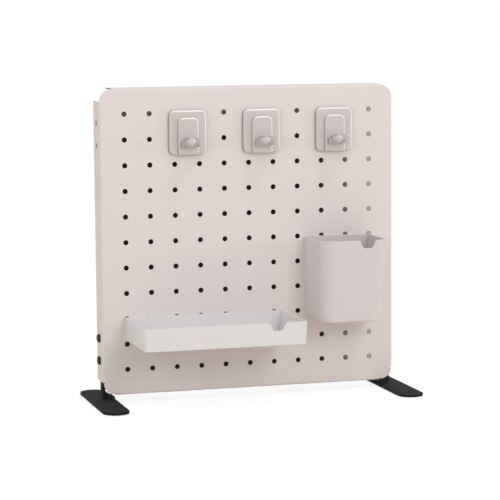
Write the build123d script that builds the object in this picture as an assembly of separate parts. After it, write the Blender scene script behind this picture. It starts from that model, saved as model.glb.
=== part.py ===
"""Desktop pegboard organizer: a flanged, perforated steel board on two feet,
with three plug-in hooks, a tray and a pen cup.

Millimetres.  X to the right, Y to the back, Z up.  The origin is on the
standing surface, under the middle of the whole object.

Every piece is first made round the board's own centre, on the board's front
face, and then moved to its place by the one shift at the end.
"""
from build123d import *
import os

# ---------------------------------------------------------------- the board
sheet = 1.2                  # steel thickness
hole_pitch = 25.0
hole_columns = 11
hole_rows = 11
hole_margin = 25.0           # outermost hole centres to the board's edge
hole_diameter = 5.0
flange_depth = 25.0          # board front face to the flange's back edge
bend_radius = 2.4            # outside of the bend
corner_radius = 11.5
corner_inset = 1.0           # the rounded corner lies inside the flange faces
corner_setback = 12.7        # flanges stop this far from the board's corner
relief_width = 0.6           # slot between a flange's end and the corner
relief_depth = 0.4           # how far it runs past the bend line

# Screw holes in the side flanges, in pairs, the same above and below.
pair_height = 105.6          # board centre to the middle of a pair
pair_spacing = 22.0
flange_hole_diameter = 4.6

# ----------------------------------------------------------------- the feet
board_lift = 8.2             # standing surface to the board's lower edge
foot_width = 26.0
foot_front_reach = 67.0      # in front of the board's face
foot_back_reach = 65.0       # behind it
foot_outreach = 12.2         # outside the board's side
foot_thickness = 2.5
foot_edge_radius = 0.7
pad_thickness = 1.0
pad_width = 17.0
pad_length = 34.0
pad_inset = 7.0              # from the foot's rounded end

bracket_thickness = 2.5
bracket_width = 11.0
bracket_bend = 4.0           # outside of the bend
bracket_top_margin = 7.5     # above the upper screw
bracket_top_corner = 4.8
toe_reach = 11.5             # in from the upright's outer face
toe_length = 22.0            # front to back
toe_corner = 3.0
rivet_spacing = 13.0
rivet_inset = 6.0            # from the upright's outer face
rivet_diameter = 3.2
rivet_head_diameter = 6.0
rivet_head_height = 1.3
rivet_head_round = 1.0

screw_diameter = 4.0
screw_head_diameter = 8.5
screw_head_height = 2.7
screw_head_round = 1.8
screw_tip = 1.6              # past the nut
screw_slack = 0.2            # radial, in the flange and the bracket
recess_span = 4.4            # the cross in the head
recess_width = 1.1
recess_depth = 1.3
nut_across_flats = 7.0
nut_thickness = 3.2
nut_chamfer = 0.4

# ------------------------------------------------------------ plug-in pegs
peg_clearance = 0.1          # radial, in the board's holes
peg_reach = 8.0              # behind the board
peg_tip_chamfer = 0.8
peg_split = 0.9              # the slot that lets it spring
peg_split_length = 6.0

# ---------------------------------------------------------------- the hooks
hook_first_columns = (2, 5, 8)   # left hole of each hook
hook_top_row = 0
hook_width = 37.2
hook_rise = 2.7              # plate's top over the upper hole centres
hook_drop = 15.4             # plate's bottom under the lower hole centres
hook_thickness = 5.0
hook_corner = 5.0
hook_edge_radius = 1.6
arm_width = 20.8
arm_top_gap = 7.0            # tongue's top to the plate's top
arm_top_corner = 5.5
arm_raise = 3.0              # tongue's face over the plate's face
arm_seat_depth = 1.2         # let into the plate
arm_seat_gap = 0.1
arm_edge_radius = 0.8
nose_width = 15.5
nose_reach = 12.6            # in front of the tongue's face
nose_root = 13.4             # crotch over the plate's bottom
nose_root_thickness = 6.2
nose_lip_height = 3.6        # lip's top over the crotch
nose_lip_thickness = 3.4
nose_sag = 1.3               # how far the crotch dips
nose_corner = 3.2            # the lip's rounded corners, seen from the front

# ------------------------------------------------- what the tray and cup share
side_offset = 3.2            # their middle lies right of their peg row's
notch_top_width = 17.2
notch_bottom_width = 9.0
notch_depth = 7.7
notch_corner = 1.0
lug_radius = 4.4             # round a peg that stands near the rim

# ----------------------------------------------------------------- the tray
tray_columns = (1, 5)
tray_row = 8
tray_width = 161.0
tray_depth = 84.0
tray_height = 22.5
tray_rim_rise = 1.5          # rim over the hole centres
tray_draft = 1.0             # each drafted side, over the height
tray_wall = 1.8
tray_floor = 1.8
tray_corner = 2.6
tray_inner_corner = 1.2
tray_foot_round = 1.2
tray_notch_offset = 51.0     # right of the tray's middle

# ------------------------------------------------------------------ the cup
cup_columns = (8, 9)
cup_rows = (6, 7)
cup_width = 68.5
cup_depth = 62.0
cup_height = 81.5
cup_rim_drop = 0.3           # rim under the hole row above its pegs
cup_side_draft = 2.6         # each side, over the height
cup_front_draft = 11.0
cup_wall = 1.8
cup_floor = 2.0
cup_corner = 14.0
cup_foot_round = 1.5
cup_notch_offset = 12.5      # right of the cup's middle

# ------------------------------------------------------------- cutting shapes
cut_margin = 1.0             # how far they run past what they cut

# ---------------------------------------------------------- worked out sizes
board_width = (hole_columns - 1) * hole_pitch + 2 * hole_margin
board_height = (hole_rows - 1) * hole_pitch + 2 * hole_margin
half_width = board_width / 2
half_height = board_height / 2
upright_face = half_width - sheet            # the flange's inner face
flange_middle = flange_depth / 2             # screws and brackets, in Y
floor_z = -half_height - board_lift
foot_bottom = floor_z + pad_thickness
foot_top = foot_bottom + foot_thickness
foot_x = half_width + foot_outreach - foot_width / 2
foot_y = (foot_back_reach - foot_front_reach) / 2
foot_length = foot_front_reach + foot_back_reach
toe_top = foot_top + bracket_thickness
screw_heights = (-pair_height - pair_spacing / 2, -pair_height + pair_spacing / 2)
bracket_top = screw_heights[1] + bracket_top_margin
screw_hole_diameter = screw_diameter + 2 * screw_slack
peg_diameter = hole_diameter - 2 * peg_clearance
hook_face = -hook_thickness
arm_face = hook_face - arm_raise
reach_in_front = max(tray_depth, cup_depth, foot_front_reach)
board_face_y = (reach_in_front - foot_back_reach) / 2


def hole_x(column):
    return (column - (hole_columns - 1) / 2) * hole_pitch


def hole_z(row):
    return ((hole_rows - 1) / 2 - row) * hole_pitch


def block(x_range, y_range, z_range):
    """A box between two corners."""
    size = [high - low for low, high in (x_range, y_range, z_range)]
    middle = [(high + low) / 2 for low, high in (x_range, y_range, z_range)]
    return Pos(*middle) * Box(*size)


def rod_along_x(diameter, x_range, y, z):
    length = x_range[1] - x_range[0]
    return Pos((x_range[0] + x_range[1]) / 2, y, z) * Rot(0, 90, 0) * Cylinder(diameter / 2, length)


def rod_along_y(diameter, y_range, x, z):
    length = y_range[1] - y_range[0]
    return Pos(x, (y_range[0] + y_range[1]) / 2, z) * Rot(90, 0, 0) * Cylinder(diameter / 2, length)


def rod_along_z(diameter, x, y, z_range):
    length = z_range[1] - z_range[0]
    return Pos(x, y, (z_range[0] + z_range[1]) / 2) * Cylinder(diameter / 2, length)


def both_sides(right_piece):
    """The right-hand piece and its mirror image."""
    return {"right": right_piece, "left": mirror(right_piece, about=Plane.YZ)}


# ---------------------------------------------------------------- the board
def bent_flange(half_span, length):
    """The flange whose outer face is at X = half_span, with its bend."""
    bend_centre = (half_span - bend_radius, bend_radius)
    inner_x = half_span - sheet
    outline = Curve() + [
        CenterArc(bend_centre, bend_radius, -90, 90),
        Line((half_span, bend_radius), (half_span, flange_depth)),
        Line((half_span, flange_depth), (inner_x, flange_depth)),
        Line((inner_x, flange_depth), (inner_x, bend_radius)),
        CenterArc(bend_centre, bend_radius - sheet, -90, 90),
        Line((bend_centre[0], sheet), (bend_centre[0], 0)),
    ]
    return Pos(0, 0, -length / 2) * extrude(make_face(outline), amount=length)


def make_board():
    """One folded sheet: the perforated face, four flanges, open corners."""
    face = RectangleRounded(board_width - 2 * corner_inset, board_height - 2 * corner_inset, corner_radius)
    face -= GridLocations(hole_pitch, hole_pitch, hole_columns, hole_rows) * Circle(hole_diameter / 2)
    board = extrude(Plane.XZ * face, amount=-sheet)
    through = (-cut_margin, flange_depth + cut_margin)
    for half_span, half_run, turns in (
        (half_width, half_height, (0, 180)),
        (half_height, half_width, (-90, 90)),
    ):
        flange_end = half_run - corner_setback
        bend_line = half_span - bend_radius
        for turn in turns:
            side = Rot(0, turn, 0)
            board -= side * block((bend_line, half_span + cut_margin), through, (-flange_end, flange_end))
            for end in (-1, 1):
                slot_z = sorted((end * flange_end, end * (flange_end + relief_width)))
                slot_x = (bend_line - relief_depth, half_span + cut_margin)
                board -= side * block(slot_x, through, slot_z)
        for turn in turns:
            board += Rot(0, turn, 0) * bent_flange(half_span, 2 * flange_end)
    for middle in (-pair_height, pair_height):
        for step in (-pair_spacing / 2, pair_spacing / 2):
            across = (-half_width - cut_margin, half_width + cut_margin)
            board -= rod_along_x(flange_hole_diameter, across, flange_middle, middle + step)
    return board


# ----------------------------------------------------------------- the feet
def make_foot_plate():
    plan = Pos(foot_x, foot_y) * SlotOverall(foot_length, foot_width, rotation=90)
    plate = Pos(0, 0, foot_bottom) * extrude(plan, amount=foot_thickness)
    plate = fillet(plate.faces().sort_by(Axis.Z)[-1].edges(), foot_edge_radius)
    for x, y in rivet_places():
        plate -= rod_along_z(rivet_diameter, x, y, (foot_bottom - cut_margin, foot_top + cut_margin))
    return plate


def make_foot_pads():
    middle = foot_length / 2 - pad_inset - pad_length / 2
    pad = SlotOverall(pad_length, pad_width, rotation=90)
    pads = [Pos(foot_x, foot_y + end * middle) * pad for end in (-1, 1)]
    return [Pos(0, 0, floor_z) * extrude(one, amount=pad_thickness) for one in pads]


def rivet_places():
    x = upright_face - rivet_inset
    return [(x, flange_middle + end * rivet_spacing / 2) for end in (-1, 1)]


def make_bracket():
    """Upright against the inside of the side flange, toe on the foot plate."""
    inner_x = upright_face - bracket_thickness
    bend_centre = (upright_face - bracket_bend, foot_top + bracket_bend)
    toe_end = upright_face - toe_reach
    outline = Curve() + [
        Line((toe_end, foot_top), (bend_centre[0], foot_top)),
        CenterArc(bend_centre, bracket_bend, -90, 90),
        Line((upright_face, bend_centre[1]), (upright_face, bracket_top)),
        Line((upright_face, bracket_top), (inner_x, bracket_top)),
        Line((inner_x, bracket_top), (inner_x, bend_centre[1])),
        CenterArc(bend_centre, bracket_bend - bracket_thickness, -90, 90),
        Line((bend_centre[0], toe_top), (toe_end, toe_top)),
        Line((toe_end, toe_top), (toe_end, foot_top)),
    ]
    strip = extrude(Plane.XZ * make_face(outline), amount=-bracket_width)
    bracket = Pos(0, flange_middle - bracket_width / 2, 0) * strip
    toe_plan = Pos((toe_end + bend_centre[0]) / 2, flange_middle) * RectangleRounded(
        bend_centre[0] - toe_end, toe_length, toe_corner)
    bracket += Pos(0, 0, foot_top) * extrude(toe_plan, amount=bracket_thickness)
    top_corners = bracket.edges().filter_by(Axis.X).group_by(Axis.Z)[-1]
    bracket = fillet(top_corners, bracket_top_corner)
    across = (inner_x - cut_margin, upright_face + cut_margin)
    for z in screw_heights:
        bracket -= rod_along_x(screw_hole_diameter, across, flange_middle, z)
    for x, y in rivet_places():
        bracket -= rod_along_z(rivet_diameter, x, y, (foot_top - cut_margin, toe_top + cut_margin))
    return bracket


def make_rivets():
    rivets = []
    for x, y in rivet_places():
        head = rod_along_z(rivet_head_diameter, x, y, (toe_top, toe_top + rivet_head_height))
        head = fillet(head.faces().sort_by(Axis.Z)[-1].edges(), rivet_head_round)
        rivets.append(head + rod_along_z(rivet_diameter, x, y, (foot_bottom, toe_top)))
    return rivets


def make_side_screws():
    """Pan-head screws through the flange and the bracket into the nuts."""
    screws = []
    for z in screw_heights:
        inner_end = upright_face - bracket_thickness - nut_thickness - screw_tip
        head_top = half_width + screw_head_height
        head = rod_along_x(screw_head_diameter, (half_width, head_top), flange_middle, z)
        head = fillet(head.faces().sort_by(Axis.X)[-1].edges(), screw_head_round)
        screw = head + rod_along_x(screw_diameter, (inner_end, half_width), flange_middle, z)
        recess_x = (head_top - recess_depth, head_top + cut_margin)
        for span_y, span_z in ((recess_span, recess_width), (recess_width, recess_span)):
            screw -= block(
                recess_x,
                (flange_middle - span_y / 2, flange_middle + span_y / 2),
                (z - span_z / 2, z + span_z / 2),
            )
        screws.append(screw)
    return screws


def make_nuts():
    nuts = []
    outer_x = upright_face - bracket_thickness
    for z in screw_heights:
        hexagon = RegularPolygon(nut_across_flats / 2, 6, major_radius=False) - Circle(screw_diameter / 2)
        nut = extrude(hexagon, amount=nut_thickness)
        rim = nut.faces().sort_by(Axis.Z)[-1].outer_wire().edges()
        nut = chamfer(rim, nut_chamfer)
        nuts.append(Pos(outer_x, flange_middle, z) * Rot(0, -90, 0) * nut)
    return nuts


# ------------------------------------------------------------ plug-in pegs
def make_peg(x, z):
    """A round peg through a hole of the board, split so that it springs."""
    tip = sheet + peg_reach
    peg = rod_along_y(peg_diameter, (0, tip), x, z)
    peg = chamfer(peg.faces().sort_by(Axis.Y)[-1].edges(), peg_tip_chamfer)
    slot_x = (x - peg_split / 2, x + peg_split / 2)
    slot_y = (tip - peg_split_length, tip + cut_margin)
    return peg - block(slot_x, slot_y, (z - peg_diameter, z + peg_diameter))


# ---------------------------------------------------------------- the hooks
def hook_limits(first_column):
    """Middle, bottom and top of a hook's plate."""
    middle = (hole_x(first_column) + hole_x(first_column + 1)) / 2
    return middle, hole_z(hook_top_row + 1) - hook_drop, hole_z(hook_top_row) + hook_rise


def tongue_outline(middle, bottom, top, spread):
    """The tongue's outline on the board's plane, spread by a gap."""
    width = arm_width + 2 * spread
    upper = top - arm_top_gap + spread
    outline = Pos(middle, (bottom + upper) / 2) * Rectangle(width, upper - bottom)
    return fillet(outline.vertices().group_by(Axis.Y)[-1], arm_top_corner + spread)


def make_hook_plate(first_column):
    middle, bottom, top = hook_limits(first_column)
    outline = Pos(middle, (bottom + top) / 2) * RectangleRounded(hook_width, top - bottom, hook_corner)
    plate = extrude(Plane.XZ * outline, amount=hook_thickness)
    plate = fillet(plate.faces().sort_by(Axis.Y)[0].edges(), hook_edge_radius)
    seat_outline = tongue_outline(middle, bottom - cut_margin, top, arm_seat_gap)
    seat = extrude(Plane.XZ * seat_outline, amount=arm_seat_depth + cut_margin)
    plate -= Pos(0, hook_face + arm_seat_depth, 0) * seat
    for column in (first_column, first_column + 1):
        for row in (hook_top_row, hook_top_row + 1):
            plate += make_peg(hole_x(column), hole_z(row))
    return plate


def make_hook_arm(first_column):
    """The tongue let into the plate, and the upturned nose it carries."""
    middle, bottom, top = hook_limits(first_column)
    tongue = extrude(Plane.XZ * tongue_outline(middle, bottom, top, 0), amount=arm_raise + arm_seat_depth)
    tongue = Pos(0, hook_face + arm_seat_depth, 0) * tongue
    tongue = fillet(tongue.faces().sort_by(Axis.Y)[0].edges(), arm_edge_radius)
    crotch = bottom + nose_root
    lip_y = arm_face - nose_reach + nose_lip_thickness / 2
    lip_z = crotch + nose_lip_height - nose_lip_thickness / 2
    inner_y = lip_y + nose_lip_thickness / 2
    outer_y = lip_y - nose_lip_thickness / 2
    root_y = arm_face + arm_raise / 2
    under = crotch - nose_root_thickness
    profile = Curve() + [
        Line((root_y, under), (root_y, crotch)),
        Line((root_y, crotch), (arm_face, crotch)),
        ThreePointArc((arm_face, crotch), ((arm_face + inner_y) / 2, crotch - nose_sag), (inner_y, lip_z)),
        ThreePointArc((inner_y, lip_z), (lip_y, crotch + nose_lip_height), (outer_y, lip_z)),
        TangentArc((outer_y, lip_z), (arm_face, under), tangent=(0, -1)),
        Line((arm_face, under), (root_y, under)),
    ]
    nose = extrude(Plane.YZ * make_face(profile), amount=nose_width)
    nose = Pos(middle - nose_width / 2, 0, 0) * nose
    front_top = crotch + nose_lip_height
    front_bottom = under - nose_reach
    front = Pos(middle, (front_top + front_bottom) / 2) * Rectangle(nose_width, front_top - front_bottom)
    front = fillet(front.vertices().group_by(Axis.Y)[-1], nose_corner)
    nose &= extrude(Plane.XZ * front, amount=cut_margin - outer_y)
    return tongue + nose


# ------------------------------------------------------- the tray and the cup
def plan(middle, width, depth, corner, z):
    """A plan with its straight back on the board and round front corners."""
    outline = Pos(middle, -depth / 2) * Rectangle(width, depth)
    return Pos(0, 0, z) * fillet(outline.vertices().group_by(Axis.Y)[0], corner)


def rim_notch(middle, rim, front, wall):
    """The tapered gap in the front rim, as a cutting block."""
    spread = (notch_top_width - notch_bottom_width) / 2 * (1 + cut_margin / notch_depth)
    top = rim + cut_margin
    bottom = rim - notch_depth
    half_bottom = notch_bottom_width / 2
    corners = [
        (middle - half_bottom - spread, top),
        (middle - half_bottom, bottom),
        (middle + half_bottom, bottom),
        (middle + half_bottom + spread, top),
    ]
    gap = make_face(Polyline(*corners, close=True))
    gap = fillet(gap.vertices().group_by(Axis.Y)[0], notch_corner)
    behind = 2 * wall + cut_margin
    return Pos(0, front + behind, 0) * extrude(Plane.XZ * gap, amount=behind + cut_margin)


def round_foot(shell, radius):
    """Rounds the bottom's edges, apart from the one against the board."""
    edges = shell.faces().sort_by(Axis.Z)[0].edges()
    back_edge = edges.sort_by(Axis.Y)[-1]
    return fillet([edge for edge in edges if edge is not back_edge], radius)


def make_tray():
    middle = (hole_x(tray_columns[0]) + hole_x(tray_columns[1])) / 2 + side_offset
    rim = hole_z(tray_row) + tray_rim_rise
    bottom = rim - tray_height
    floor_width = tray_width - 2 * tray_draft
    tray = loft([
        plan(middle, floor_width, tray_depth - tray_draft, tray_corner, bottom),
        plan(middle, tray_width, tray_depth, tray_corner, rim),
    ])
    tray = round_foot(tray, tray_foot_round)
    draft_over = tray_draft * cut_margin / tray_height
    hollow = loft([
        Pos(0, -tray_wall, 0) * plan(
            middle, floor_width - 2 * tray_wall, tray_depth - tray_draft - 2 * tray_wall,
            tray_inner_corner, bottom + tray_floor),
        Pos(0, -tray_wall, 0) * plan(
            middle, tray_width + 2 * (draft_over - tray_wall), tray_depth + draft_over - 2 * tray_wall,
            tray_inner_corner, rim + cut_margin),
    ])
    tray -= hollow
    for column in tray_columns:
        x = hole_x(column)
        z = hole_z(tray_row)
        tray += rod_along_y(2 * lug_radius, (-tray_wall, 0), x, z)
        tray += make_peg(x, z)
    return tray - rim_notch(middle + tray_notch_offset, rim, -tray_depth, tray_wall)


def make_cup():
    middle = (hole_x(cup_columns[0]) + hole_x(cup_columns[1])) / 2 + side_offset
    rim = hole_z(cup_rows[0] - 1) - cup_rim_drop
    bottom = rim - cup_height
    floor_width = cup_width - 2 * cup_side_draft
    floor_depth = cup_depth - cup_front_draft
    cup = loft([
        plan(middle, floor_width, floor_depth, cup_corner, bottom),
        plan(middle, cup_width, cup_depth, cup_corner, rim),
    ])
    cup = round_foot(cup, cup_foot_round)
    rise = cup_floor / cup_height
    rise_over = cut_margin / cup_height
    low_width = floor_width + 2 * cup_side_draft * rise - 2 * cup_wall
    low_depth = floor_depth + cup_front_draft * rise - 2 * cup_wall
    high_width = cup_width + 2 * cup_side_draft * rise_over - 2 * cup_wall
    high_depth = cup_depth + cup_front_draft * rise_over - 2 * cup_wall
    cup -= loft([
        Pos(0, -cup_wall, 0) * plan(middle, low_width, low_depth, cup_corner - cup_wall, bottom + cup_floor),
        Pos(0, -cup_wall, 0) * plan(middle, high_width, high_depth, cup_corner - cup_wall, rim + cut_margin),
    ])
    for column in cup_columns:
        for row in cup_rows:
            cup += make_peg(hole_x(column), hole_z(row))
    return cup - rim_notch(middle + cup_notch_offset, rim, -cup_depth, cup_wall)


# ------------------------------------------------------------- all the nodes
def make_nodes():
    nodes = {"board": [make_board()], "tray": [make_tray()], "pen_cup": [make_cup()]}
    for place, column in zip(("left", "middle", "right"), hook_first_columns):
        nodes[f"hook_{place}_plate"] = [make_hook_plate(column)]
        nodes[f"hook_{place}_arm"] = [make_hook_arm(column)]
    foot_pieces = {
        "foot_plate": [make_foot_plate()],
        "foot_pads": make_foot_pads(),
        "foot_bracket": [make_bracket()],
        "foot_rivets": make_rivets(),
        "side_screws": make_side_screws(),
        "side_nuts": make_nuts(),
    }
    for name, solids in foot_pieces.items():
        for solid in solids:
            for side, piece in both_sides(solid).items():
                nodes.setdefault(f"{name}_{side}", []).append(piece)
    return nodes


def write_nodes():
    os.makedirs("parts", exist_ok=True)
    place = Pos(0, board_face_y, -floor_z)
    for name, solids in make_nodes().items():
        moved = [solid for piece in solids for solid in (place * piece).solids()]
        node = moved[0] if len(moved) == 1 else Compound(children=moved)
        node.label = name
        export_step(node, f"parts/{name}.step")


write_nodes()
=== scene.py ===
"""Desktop pegboard organizer: a folded, perforated steel board on two feet,
with three plug-in hooks, an open tray and a pen cup.

Metres, in the packed model's own frame: X to the right, Y to the back, Z up,
with the standing surface at Z = 0.
"""
import math

import bmesh
import bpy
from mathutils import Matrix, Vector


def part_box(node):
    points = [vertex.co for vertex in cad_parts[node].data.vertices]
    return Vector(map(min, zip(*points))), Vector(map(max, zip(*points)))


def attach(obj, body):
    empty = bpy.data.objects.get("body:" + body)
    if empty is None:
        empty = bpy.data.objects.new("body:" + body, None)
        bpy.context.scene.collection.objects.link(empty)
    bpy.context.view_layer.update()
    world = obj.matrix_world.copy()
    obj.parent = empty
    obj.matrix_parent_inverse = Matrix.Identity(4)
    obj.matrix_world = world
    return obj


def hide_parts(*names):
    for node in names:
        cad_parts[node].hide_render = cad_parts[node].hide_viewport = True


bl_info = {
    "name": "Pegboard Organizer",
    "version": (1, 0, 0),
    "blender": (4, 5, 0),
    "location": "View3D > Sidebar > Pegboard",
    "description": "Builds a desktop pegboard with its feet, hooks, tray and pen cup",
    "category": "Add Mesh",
}

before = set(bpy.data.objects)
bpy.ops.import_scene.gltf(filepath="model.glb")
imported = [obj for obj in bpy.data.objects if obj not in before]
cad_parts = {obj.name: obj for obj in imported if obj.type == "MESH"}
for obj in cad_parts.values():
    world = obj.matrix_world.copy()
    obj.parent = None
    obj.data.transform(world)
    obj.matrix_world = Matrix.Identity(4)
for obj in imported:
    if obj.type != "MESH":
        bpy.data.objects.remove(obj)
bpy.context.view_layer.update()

MM = 0.001
NEAR = 0.01 * MM                              # what lies nearer than this lies together
BOARD_LOW, BOARD_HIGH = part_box("board")
TRAY_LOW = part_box("tray")[0]
CUP_LOW, CUP_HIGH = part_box("pen_cup")
BOARD_MIDDLE = (BOARD_LOW + BOARD_HIGH) / 2
HALF_BOARD = (BOARD_HIGH.x - BOARD_LOW.x) / 2
FACE_Y = BOARD_LOW.y                          # the board's front face
# Face attribute that carries a painted highlight on the hooks' rounded edges
PAINTED_EDGE_HIGHLIGHT = "painted_edge_highlight"                     # face attribute of the hooks' rounded edges
SHARP = math.radians(50.0)                    # edges that turn more than this are softened
WHITE = (1.0, 1.0, 1.0)
VERT, EDGE, FACE = bmesh.types.BMVert, bmesh.types.BMEdge, bmesh.types.BMFace


# ------------------------------------------------------------------ settings
def length(name, description, default):
    return bpy.props.FloatProperty(
        name=name, description=description, default=default, unit="LENGTH", precision=5, min=0.0)


def angle(name, description, default):
    return bpy.props.FloatProperty(
        name=name, description=description, default=math.radians(default), subtype="ANGLE", unit="ROTATION")


def amount(name, description, default):
    return bpy.props.FloatProperty(name=name, description=description, default=default, min=0.0)


def colour(name, description, default):
    return bpy.props.FloatVectorProperty(
        name=name, description=description, default=default, size=3, subtype="COLOR", min=0.0, max=1.0)


def spot(name, description, default):
    return bpy.props.FloatVectorProperty(
        name=name, description=description, default=default, subtype="XYZ", unit="LENGTH", precision=5)


def count(name, description, default):
    return bpy.props.IntProperty(name=name, description=description, default=default, min=1)


class BoardSettings(bpy.types.PropertyGroup):
    """The folded sheet."""

    sheet: length("Sheet", "Thickness of the steel", 1.2 * MM)
    spacing: length("Hole spacing", "From one hole's centre to the next", 25 * MM)
    columns: count("Columns", "Holes across", 11)
    rows: count("Rows", "Holes from top to bottom", 11)
    hole_diameter: length("Hole diameter", "Diameter of the peg holes", 5 * MM)
    hole_sides: count("Hole sides", "Straight sides of one hole", 32)
    hole_collar: length("Hole collar", "Width of the flat ring of faces round a hole", 0.8 * MM)
    bend_radius: length("Bend radius", "Outer radius of the folds", 2.4 * MM)
    bend_steps: count("Bend steps", "Faces round one fold", 8)
    corner_radius: length("Corner radius", "Radius of the face's corners", 11.5 * MM)
    corner_inset: length("Corner inset", "How far the corners lie inside the flanges", 1.0 * MM)
    corner_setback: length("Corner setback", "Where the flanges stop, from the corner", 12.7 * MM)
    corner_steps: count("Corner steps", "Edges round one corner", 10)
    relief_width: length("Relief width", "Width of the slot at a flange's end", 0.6 * MM)
    relief_depth: length("Relief depth", "How far the slot runs past the fold", 0.4 * MM)
    screw_hole: length("Screw hole", "Diameter of the holes in the side flanges", 4.6 * MM)
    pair_height: length("Pair height", "Board's middle to the middle of a pair of holes", 105.6 * MM)
    pair_spacing: length("Pair spacing", "Between the two holes of a pair", 22 * MM)
    softness: length("Edge softness", "Rounding that the coating leaves on cut edges", 0.22 * MM)
    paint: colour("Paint", "Warm white powder coat", (0.730, 0.664, 0.650))
    unevenness: amount("Unevenness", "How much the coat's tone drifts", 0.012)
    roughness: amount("Roughness", "Of the coat, 1 for fully matt", 0.46)
    gloss: amount("Gloss", "Strength of the coat's reflections", 0.4)
    # Cut edges: partly the thin coat's own darker tone, partly painted shade in the holes and slot ends, and
    # a painted dark line on the rims and corner arcs
    cut_edge_painted_shade: colour("Cut edge", "Thin coat inside the holes", (0.085, 0.072, 0.062))
    rim_painted_shade: amount("Rim shade", "Share of that tone on the flanges' and corners' edges", 0.45)
    grain: length("Paint grain", "Size of the coating's fine texture", 0.55 * MM)
    grain_height: length("Grain height", "Depth of the coating's fine texture", 0.018 * MM)


class FeetSettings(bpy.types.PropertyGroup):
    """The two feet and what fastens them."""

    edge_radius: length("Edge radius", "Rounding of the foot plates' upper edge", 0.7 * MM)
    end_steps: count("End steps", "Edges round a quarter of a foot's end", 12)
    paint: colour("Paint", "Black powder coat", (0.017, 0.0155, 0.0145))
    unevenness: amount("Unevenness", "How much the coat's tone drifts", 0.08)
    roughness: amount("Roughness", "Of the coat, 1 for fully matt", 0.72)
    gloss: amount("Gloss", "Strength of the coat's reflections", 0.12)
    grain: length("Paint grain", "Size of the coating's fine texture", 0.6 * MM)
    grain_height: length("Grain height", "Depth of the coating's fine texture", 0.03 * MM)
    screw: colour("Screws", "Dark bronzed screws", (0.045, 0.028, 0.018))
    zinc: colour("Zinc", "Plated nuts", (0.56, 0.57, 0.58))
    rubber: colour("Rubber", "Pads under the feet", (0.018, 0.018, 0.018))


class HookSettings(bpy.types.PropertyGroup):
    """The three hooks."""

    corner: length("Plate corner", "Radius of the plate's corners", 5.0 * MM)
    corner_steps: count("Corner steps", "Edges round one corner", 8)
    edge: length("Plate edge", "Rounding of the plate's front edge", 1.6 * MM)
    thickness: length("Plate thickness", "From the board to the plate's face", 5.0 * MM)
    tongue_raise: length("Tongue raise", "Tongue's face over the plate's face", 3.0 * MM)
    tongue_corner: length("Tongue corner", "Radius of the tongue's upper corners", 5.5 * MM)
    tongue_edge: length("Tongue edge", "Rounding of the tongue's front edge", 1.5 * MM)
    nose_width: length("Nose width", "Width of the upturned nose", 15.5 * MM)
    nose_root: length("Nose root", "Crotch over the plate's bottom", 13.4 * MM)
    nose_root_thickness: length("Root thickness", "Nose's height where it leaves the tongue", 6.2 * MM)
    nose_lip_height: length("Lip height", "Lip's top over the crotch", 3.6 * MM)
    nose_lip_thickness: length("Lip thickness", "Thickness of the lip", 3.4 * MM)
    nose_sag: length("Nose sag", "How far the crotch dips", 1.3 * MM)
    nose_edge: length("Nose edge", "Rounding of the nose's edges", 1.5 * MM)
    nose_fullness: amount("Nose fullness", "1 for an elliptic belly, less for a fuller one", 0.7)
    nose_corner: length("Nose corner", "Radius of the lip's upper corners", 3.2 * MM)
    hollow_steps: count("Hollow steps", "Edges along the crotch, and round the lip", 8)
    belly_steps: count("Belly steps", "Edges along the nose's underside", 12)
    plastic: colour("Plastic", "Pale grey-white glossy plastic", (0.595, 0.53, 0.525))
    # Painted highlight: paler tone on the hooks' rounded edges, strongest where they face up or right
    painted_highlight_tone: colour("Edge tone", "The same plastic where an edge is thin", (0.82, 0.765, 0.755))
    grain: length("Grain", "Size of the plastic's fine texture", 0.35 * MM)
    grain_height: length("Grain height", "Depth of the plastic's fine texture", 0.004 * MM)
    roughness: amount("Roughness", "Of the plastic, 1 for fully matt", 0.16)
    shine: amount("Shine", "Strength of the clear skin on the plastic", 0.5)


class TraySettings(bpy.types.PropertyGroup):
    """The open tray."""

    width: length("Width", "Across the rim", 161 * MM)
    height: length("Height", "From the foot to the rim", 22.5 * MM)
    draft: length("Draft", "How far each side leans out, over the height", 1.0 * MM)
    wall: length("Wall", "Thickness of the walls", 1.8 * MM)
    corner: length("Corner", "Radius of the front corners", 2.6 * MM)
    corner_steps: count("Corner steps", "Edges round one corner", 6)
    foot_round: length("Foot round", "Rounding of the lower edge", 1.2 * MM)
    notch_offset: length("Notch offset", "Notch's middle, right of the tray's middle", 51 * MM)
    peg_columns: count("Peg spread", "Hole spacings from one peg to the other", 4)
    peg_row: count("Peg row", "Row of holes that it hangs in, the top one being 0", 8)
    lug_radius: length("Lug radius", "Round boss at each peg", 4.4 * MM)
    lug_sides: count("Lug sides", "Straight sides of one boss", 40)
    plastic: colour("Plastic", "White satin plastic", (0.738, 0.712, 0.718))


class CupSettings(bpy.types.PropertyGroup):
    """The pen cup."""

    height: length("Height", "From the foot to the rim", 81.5 * MM)
    side_draft: length("Side draft", "How far each side leans out, over the height", 2.6 * MM)
    front_draft: length("Front draft", "How far the front leans out, over the height", 11 * MM)
    wall: length("Wall", "Thickness of the walls", 1.8 * MM)
    corner: length("Corner", "Radius of the front corners", 14 * MM)
    corner_steps: count("Corner steps", "Edges round one corner", 20)
    foot_round: length("Foot round", "Rounding of the lower edge", 1.5 * MM)
    notch_offset: length("Notch offset", "Notch's middle, right of the cup's middle", 12.5 * MM)
    peg_row: count("Peg row", "Upper row of holes that it hangs in, the top one being 0", 6)
    plastic: colour("Plastic", "White satin plastic with a rosy cast", (0.670, 0.612, 0.622))


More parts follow.
